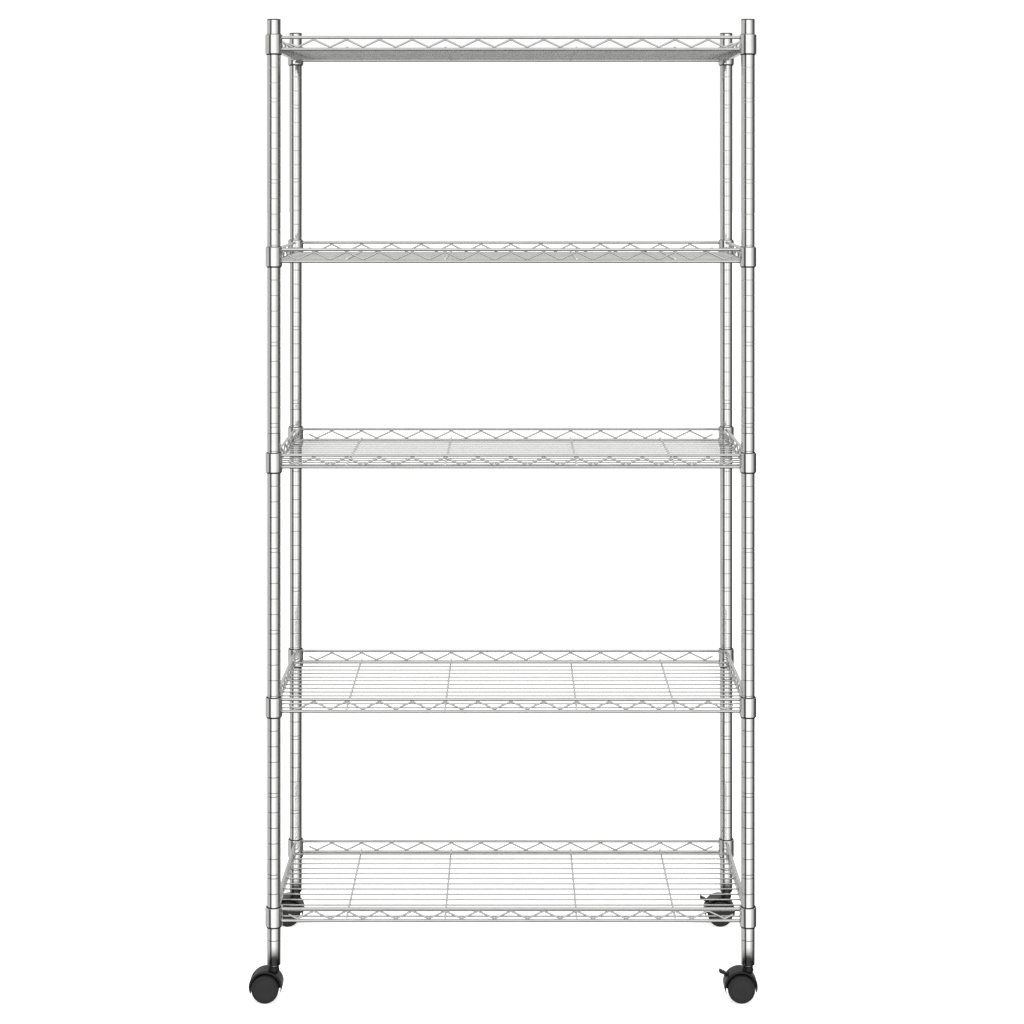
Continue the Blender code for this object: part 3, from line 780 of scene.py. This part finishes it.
def deck(level_low):
    """The deck and cross wires, with a bead at each crossing and each end."""
    sheets = []
    cross_level = level_low + RAIL + CROSS - SINK
    deck_level = cross_level - CROSS - DECK + SINK
    room = half_y - COLLAR_RADIUS - DECK * DECK_ALLOWANCE - END_CLEARANCE
    rows = math.floor(room / DECK_PITCH)
    deck_y = np.arange(-rows, rows + 1) * DECK_PITCH
    reach = half_x - DECK_SHORT
    for y in deck_y:
        sheets.append(straight((-reach, y, deck_level), (reach, y, deck_level), UP, DECK))
    peaks = truss_peaks(half_x)
    cross_x = np.array([-(peaks - 1), -(peaks // 3), peaks // 3, peaks - 1]) * TRUSS_PITCH
    reach = half_y + CROSS_PAST
    for x in cross_x:
        sheets.append(straight((x, -reach, cross_level), (x, reach, cross_level), UP, CROSS))
    crossing = np.stack(np.meshgrid(cross_x, deck_y), axis=-1).reshape(-1, 2)
    spots = np.column_stack([crossing, np.full(len(crossing), deck_level + DECK)])
    sheets += beads(spots, CROSSING_BEAD)
    ends = np.stack(np.meshgrid([-1, 1], deck_y), axis=-1).reshape(-1, 2)
    spots = np.column_stack([ends[:, 0] * (half_x - RAIL), ends[:, 1],
                             np.full(len(ends), deck_level)])
    sheets += beads(spots, DECK_END_BEAD)
    ends = np.stack(np.meshgrid(cross_x, [-half_y, half_y]), axis=-1).reshape(-1, 2)
    spots = np.column_stack([ends, np.full(len(ends), level_low + RAIL)])
    sheets += beads(spots, CROSS_END_BEAD)
    return sheets


# %% [markdown]
# ## Collars
#
# The four corners of a shelf are short chrome tubes, turned in at the foot. Their bore is
# tapered to match the sleeve. The upper and lower wires of each side end in them.

# %% Make the shelves
COLLAR_TURN_IN = 0.0005
COLLAR_TURN_HEIGHT = 0.0012


def collar(corner, foot, top):
    """A ring of surface: up the outside, over the rim and down the tapered bore."""
    bore = POST_RADIUS + 2 * SLEEVE_PLAY
    outline = soften(
        [(COLLAR_RADIUS - COLLAR_TURN_IN, foot), (COLLAR_RADIUS, foot + COLLAR_TURN_HEIGHT),
         (COLLAR_RADIUS, top), (bore + SLEEVE_WALL_TOP, top), (bore + SLEEVE_WALL_FOOT, foot)],
        [0.0002, 0.0006, 0.0005, 0.0003, 0.0002], steps=5, closed=True)
    return turned(outline, (*post_axis[corner], 0.0), sides=48, ring=True)


middle = np.array([*rack_middle, 0.0])
for number in SHELVES:
    node = f"shelf_{number}"
    foot, top = node_box(node)[0][2], node_box(node)[1][2]
    level_high = top - RAIL_BELOW_COLLAR_TOP
    level_low = level_high - RAIL_GAP
    wires = rail_and_truss(level_low, level_high) + deck(level_low)
    placed = [(points + middle, ring) for points, ring in wires]
    wire_mesh = surface_mesh(node, placed, crease=50.0)
    show(f"shelf_{number}_wires", wire_mesh, "rack", wire_chrome_painted_shade, "chrome", node)
    collars = surface_mesh("collars", [collar(corner, foot, top) for corner in CORNERS])
    show(f"shelf_{number}_collars", collars, "rack", chrome, "chrome", node)
print("a shelf has", len(wires), "wires and beads, with", len(wire_mesh.polygons), "faces")

# %% [markdown]
# ## Caster wheels
#
# Two wheels share one axle. Each is a moulded disc with a lightly crowned tread, a rounded
# shoulder, a shallow ring on its outer face and a blind bore for the axle.

# %% Make the wheels
AXLE_RADIUS = 0.0030
AXLE_DEPTH = 0.010
AXLE_PLAY = 0.0003
wheel_low, wheel_high = node_box("front_left_caster_front_wheel")
WHEEL_RADIUS = (wheel_high[0] - wheel_low[0]) / 2
WHEEL_WIDTH = wheel_high[1] - wheel_low[1]


def wheel_sheet():
    """The wheel's profile from the end of its bore, round the tread, to its outer centre."""
    r, w = WHEEL_RADIUS, WHEEL_WIDTH
    bore, bore_end = AXLE_RADIUS + AXLE_PLAY, AXLE_DEPTH + AXLE_PLAY
    outline = [
        (FINE_POLE, bore_end), (bore, bore_end), (bore, 0.0),
        (0.0055, 0.0), (0.0060, 0.0006), (r - 0.0042, 0.0006), (r - 0.0036, 0.0),
        (r - 0.0008, 0.0), (r - 0.0001, 0.0022), (r, w / 2), (r - 0.0001, w - 0.0030),
        (r - 0.0012, w - 0.0004), (r - 0.0026, w), (r - 0.0034, w), (r - 0.0037, w - 0.0005),
        (r - 0.0043, w - 0.0005), (r - 0.0048, w - 0.0001), (0.0040, w), (FINE_POLE, w),
    ]
    return turned(soften(outline, 0.0007, steps=4), (0.0, 0.0, 0.0), sides=64)


for corner in CORNERS:
    for side, outward in (("front", -1), ("rear", 1)):
        node = f"{corner}_caster_{side}_wheel"
        low, high = node_box(node)
        inner = high[1] if outward < 0 else low[1]
        hub = np.array([(low[0] + high[0]) / 2, inner, (low[2] + high[2]) / 2])
        points, ring = laid_over(wheel_sheet(), outward)
        show(f"{corner}_{side}_roller", surface_mesh(node, [(points + hub, ring)]), node,
             wheel_charcoal, "caster_wheel", node)
print("wheel radius", round(WHEEL_RADIUS, 4), "width", round(WHEEL_WIDTH, 4))

# %% [markdown]
# ## Caster hoods
#
# The hood is one moulding: a curved fender over both wheels, a web between them that carries
# the axle, and a boss that swivels on the stem. Three closed surfaces are joined by a
# Boolean, and then the axle's bore, the stem's socket and the lever's slot are cut. The
# fender thins towards its tips. One mesh serves all four casters.

# %% Shape the hood
HOOD_WALL = 0.0027
WEB_HALF = 0.007
FENDER_START = math.radians(-13)
FENDER_END = math.radians(198)
BOSS_RADIUS = 0.008
LEVER_SLOPE = math.radians(25)
LEVER_STROKE = math.radians(13)
TIP_WALL = 0.35              # the fender's wall at a tip, as a share of its full wall
TIP_TAPER = math.radians(35)
WEB_OVERLAP = 0.0010         # how far the web goes into the fender
WEB_END = math.radians(12)
WEB_SAG = 0.0062
ROD_EDGE = 0.0003
MOULDED_CREASE = math.radians(32)
hood_low, hood_high = node_box("front_left_caster_hood")
HOOD_RADIUS = (hood_high[0] - hood_low[0]) / 2
HOOD_HALF = (hood_high[1] - hood_low[1]) / 2
POCKET_RADIUS = HOOD_RADIUS - HOOD_WALL
axle_middle = middle_of("front_left_caster_axle")
TRAIL = post_axis["front_left"][0] - axle_middle[0]
BOSS_TOP = hood_high[2] - axle_middle[2]
brake_pivot = np.array(joints["front_right_brake"]["pos_m"])
pivot_at = brake_pivot - middle_of("front_right_caster_axle")


def fender():
    """A rounded strip swept about the axle. Its wall thins by a quarter sine at each tip."""
    angle = np.linspace(FENDER_START, FENDER_END, 61)[:, None]
    inner, outer, half = POCKET_RADIUS, HOOD_RADIUS, HOOD_HALF
    strip = soften(
        [(inner, half), (inner, -half), (outer - 0.0006, -half), (outer, -half + 0.003),
         (outer, half - 0.003), (outer - 0.0006, half)],
        [0.0003, 0.0003, 0.0008, 0.002, 0.002, 0.0008], steps=5, closed=True)
    from_tip = np.minimum(angle - FENDER_START, FENDER_END - angle) / TIP_TAPER
    wall = TIP_WALL + (1 - TIP_WALL) * np.sin(np.clip(from_tip, 0, 1) * np.pi / 2)
    radius = inner + (strip[None, :, 0] - inner) * wall
    y = strip[None, :, 1] + 0 * angle
    return np.stack([radius * np.cos(angle), y, radius * np.sin(angle)], axis=-1), False


def web():
    """The plate between the wheels: the fender's arc closed by a curved lower edge."""
    radius = POCKET_RADIUS + WEB_OVERLAP
    arc = np.linspace(FENDER_END - WEB_END, FENDER_START + WEB_END, 48)
    edge = np.stack([radius * np.cos(arc), radius * np.sin(arc)], axis=1)
    floor_x = np.linspace(edge[-1, 0], edge[0, 0], 14)[1:-1]
    sag = -WEB_SAG * (1 - (floor_x / edge[-1, 0]) ** 2)
    outline = np.concatenate([edge, np.stack([floor_x, edge[-1, 1] + sag], axis=1)])
    sheet = [np.stack([outline[:, 0], np.full(len(outline), y), outline[:, 1]], axis=1)
             for y in (-WEB_HALF, WEB_HALF)]
    return np.stack(sheet), False


def boss():
    """The swivel socket: an upright cylinder that flares where it meets the fender."""
    top, root = BOSS_TOP, POCKET_RADIUS * 0.62
    outline = soften(
        [(POLE, root), (WEB_HALF - 0.0004, root), (WEB_HALF - 0.0004, HOOD_RADIUS - 0.0075),
         (BOSS_RADIUS + 0.0012, HOOD_RADIUS - 0.0022), (BOSS_RADIUS, HOOD_RADIUS + 0.0012),
         (BOSS_RADIUS, top), (POLE, top)],
        [0, 0.0005, 0.001, 0.002, 0.002, 0.0007, 0], steps=5)
    return turned(outline, (TRAIL, 0.0, 0.0), sides=40)


def box_sheet(low, high, frame_matrix):
    """A closed box whose own axes are the columns of a 3 by 3 matrix."""
    (x0, y0, z0), (x1, y1, z1) = low, high
    loop = np.array([(y0, z0), (y1, z0), (y1, z1), (y0, z1)])
    ends = [np.column_stack([np.full(4, x), loop]) for x in (x0, x1)]
    return np.stack(ends) @ np.asarray(frame_matrix).T, False


def lever_axes(slope):
    """Columns: out along the lever, across it, and up from it."""
    out = np.array([-math.cos(slope), 0.0, math.sin(slope)])
    across = np.array([0.0, -1.0, 0.0])
    return np.column_stack([out, across, np.cross(out, across)])


def joined(name, first, others, operation):
    """Applies an exact Boolean of a mesh with other sheets, and returns the new mesh."""
    base = bpy.data.objects.new(name, first)
    bpy.context.collection.objects.link(base)
    tools = []
    for number, sheet in enumerate(others):
        label = f"{name}_{number}"
        tool = bpy.data.objects.new(label, surface_mesh(label, [sheet]))
        bpy.context.collection.objects.link(tool)
        step = base.modifiers.new(f"step_{number}", "BOOLEAN")
        step.operation = operation
        step.solver = "EXACT"
        step.object = tool
        tools.append(tool)
    bpy.context.view_layer.update()
    graph = bpy.context.evaluated_depsgraph_get()
    made = bpy.data.meshes.new_from_object(base.evaluated_get(graph))
    for used in (base, *tools):
        bpy.data.objects.remove(used, do_unlink=True)
    made.shade_smooth()
    made.set_sharp_from_angle(angle=MOULDED_CREASE)
    return made


def rod_along_y(centre, radius, half):
    """A round rod across the caster, with its edges just broken."""
    line = [(FINE_POLE, -half), (radius, -half), (radius, half), (FINE_POLE, half)]
    points, ring = laid_over(turned(soften(line, ROD_EDGE), (0, 0, 0), sides=32), 1)
    return points + np.asarray(centre), ring


SLOT_HALF_WIDTH = 0.0045
SLOT_HALF_HEIGHT = 0.0037    # the round room for the lever's barrel has this radius too
SLOT_REACH = 0.026
TRUNNION_ROOM_RADIUS = 0.0019
TRUNNION_ROOM_HALF = 0.006
SOCKET_RADIUS = 0.0038
SOCKET_DEPTH = 0.022
CUT_PAST = 0.001             # how far the socket's cutter stands out of the boss
AXLE_CUT_HALF = 0.012
slot_low = (0.0, -SLOT_HALF_WIDTH, -SLOT_HALF_HEIGHT)
slot_high = (SLOT_REACH, SLOT_HALF_WIDTH, SLOT_HALF_HEIGHT)
slot, _ = box_sheet(slot_low, slot_high, lever_axes(LEVER_SLOPE - LEVER_STROKE / 2))
socket_foot, socket_top = BOSS_TOP - SOCKET_DEPTH, BOSS_TOP + CUT_PAST
socket_line = [(FINE_POLE, socket_foot), (SOCKET_RADIUS, socket_foot),
               (SOCKET_RADIUS, socket_top), (FINE_POLE, socket_top)]
cutters = [
    rod_along_y((0, 0, 0), AXLE_RADIUS + AXLE_PLAY, AXLE_CUT_HALF),
    rod_along_y(pivot_at, SLOT_HALF_HEIGHT, SLOT_HALF_WIDTH),
    rod_along_y(pivot_at, TRUNNION_ROOM_RADIUS, TRUNNION_ROOM_HALF),
    turned(socket_line, (TRAIL, 0, 0), sides=32),
    (slot + pivot_at, False),
]
hood_solid = joined("hood", surface_mesh("hood", [fender()]), [web(), boss()], "UNION")
hood_mesh = joined("hood_cut", hood_solid, cutters, "DIFFERENCE")
print("a hood has", len(hood_mesh.polygons), "faces")


def moved(mesh, offset):
    """A copy of a mesh with its points moved."""
    made = mesh.copy()
    places = np.empty(len(made.vertices) * 3, np.float32)
    made.vertices.foreach_get("co", places)
    places = (places.reshape(-1, 3) + offset).astype(np.float32)
    made.vertices.foreach_set("co", places.ravel())
    made.update()
    return made


for corner in CORNERS:
    centre = middle_of(corner + "_caster_axle")
    show(corner + "_hood", moved(hood_mesh, centre), corner + "_caster", hood_black,
         "caster_hood", corner + "_caster_hood")

# %% [markdown]
# ## Brake levers
#
# The two right-hand casters have a foot lever. Its barrel and trunnions snap into the web, an
# arm passes through the slot, and a rounded tab sticks out for the toe. The arm is a rounded
# rectangle carried outwards, and its size along the way comes from a few stations.


# %% Shape the levers
def lever_bar():
    """Rounded rectangles (superellipses) at stations out from the pivot."""
    stations = np.array([       # distance, half width, half thickness
        (-0.0005, 0.0038, 0.0016), (0.006, 0.0040, 0.0018), (0.0115, 0.0040, 0.0018),
        (0.0124, 0.0052, 0.0018), (0.0132, 0.0058, 0.0019), (0.0200, 0.0060, 0.0020),
        (0.0222, 0.0059, 0.0021), (0.0230, 0.0055, 0.0017), (0.0234, 0.0046, 0.0010),
    ])
    angle = np.linspace(0, 2 * np.pi, 36, endpoint=False)
    square = 2 / 5                # the power that squares a circle's corners
    a = np.sign(np.cos(angle)) * np.abs(np.cos(angle)) ** square
    b = np.sign(np.sin(angle)) * np.abs(np.sin(angle)) ** square
    out, across, up = lever_axes(LEVER_SLOPE).T
    distance, half_width, half_thick = stations.T[:, :, None, None]
    a, b = a[None, :, None], b[None, :, None]
    points = distance * out + half_width * a * across + half_thick * b * up
    return points + pivot_at, False


BARREL_RADIUS, BARREL_HALF = 0.0032, 0.0040
TRUNNION_RADIUS, TRUNNION_HALF = 0.0016, 0.0055
barrel = rod_along_y(pivot_at, BARREL_RADIUS, BARREL_HALF)
trunnion = rod_along_y(pivot_at, TRUNNION_RADIUS, TRUNNION_HALF)
lever_mesh = joined("lever", surface_mesh("lever", [lever_bar()]), [barrel, trunnion], "UNION")
for corner in BRAKED:
    centre = middle_of(corner + "_caster_axle")
    show(corner + "_toe_lever", moved(lever_mesh, centre), corner + "_brake_lever", hood_black,
         "caster_hood", corner + "_brake_lever")
print("a lever has", len(lever_mesh.polygons), "faces")

# %% [markdown]
# ## Stems and axles
#
# A stem is turned steel: a stud that screws up into the post, a flange that the post stands
# on, and a smooth swivel pin. The stud's thread is a row of small ridges. The axle is a plain
# rod. Both are mostly hidden, but they show from below and behind.

# %% Make the stems and axles
PIN_RADIUS = 0.0035
FLANGE_RADIUS = 0.0075
THREAD_PITCH = 0.00125
THREAD_DEPTH = 0.0005
STUD_LENGTH = 0.010
FLANGE_HEIGHT = 0.0016


def stem_sheet(corner):
    """Pin, flange and stud turned in one. The stud's radius steps in and out up its thread."""
    low, high = node_box(corner + "_caster_stem")
    stud_foot = high[2] - STUD_LENGTH
    flange_foot = stud_foot - FLANGE_HEIGHT
    ridges = np.arange(stud_foot + 0.0009, high[2] - 0.0008, THREAD_PITCH / 2)
    depth = np.where(np.arange(len(ridges)) % 2 == 0, 0.0, THREAD_DEPTH)
    outline = np.concatenate([
        [(FINE_POLE, low[2]), (PIN_RADIUS - 0.0006, low[2]), (PIN_RADIUS, low[2] + 0.0006),
         (PIN_RADIUS, flange_foot), (FLANGE_RADIUS - 0.0003, flange_foot),
         (FLANGE_RADIUS, flange_foot + 0.0003), (FLANGE_RADIUS, stud_foot - 0.0003),
         (FLANGE_RADIUS - 0.0003, stud_foot), (STUD_RADIUS - 0.0005, stud_foot)],
        np.stack([STUD_RADIUS - depth, ridges], axis=1),
        [(STUD_RADIUS - 0.0008, high[2]), (FINE_POLE, high[2])],
    ])
    return turned(outline, (*post_axis[corner], 0.0), sides=32)


for corner in CORNERS:
    node = corner + "_caster_stem"
    show(corner + "_swivel_stem", surface_mesh(node, [stem_sheet(corner)]), "rack", zinc,
         "zinc_steel", node)
    node = corner + "_caster_axle"
    low, high = node_box(node)
    rod = rod_along_y(middle_of(node), AXLE_RADIUS, (high[1] - low[1]) / 2)
    show(corner + "_axle_rod", surface_mesh(node, [rod]), corner + "_caster", zinc,
         "zinc_steel", node)
print("stems and axles:", 2 * len(CORNERS))

# %% [markdown]
# ## The floor
#
# A wide white sheet runs under the rack and out to the horizon. It is the studio's and not
# the rack's. Mirrors don't see it, so the chrome shows the cards.

# %% Lay the floor
floor_mesh = bpy.data.meshes.new("floor")
REACH = 60.0
floor_mesh.from_pydata(
    [(-REACH, -REACH, 0.0), (REACH, -REACH, 0.0), (REACH, REACH, 0.0), (-REACH, REACH, 0.0)],
    [], [(0, 1, 2, 3)])
floor = bpy.data.objects.new("floor", floor_mesh)
bpy.context.collection.objects.link(floor)
floor_white, _, floor_shader = finish("floor_white", (0.98, 0.98, 0.98), 0.0, 0.0)
floor_shader.inputs["Roughness"].default_value = 1.0
floor_shader.inputs["Emission Color"].default_value = (1.0, 1.0, 1.0, 1.0)
floor_shader.inputs["Emission Strength"].default_value = 0.6
floor_mesh.materials.append(floor_white)
floor.visible_glossy = False
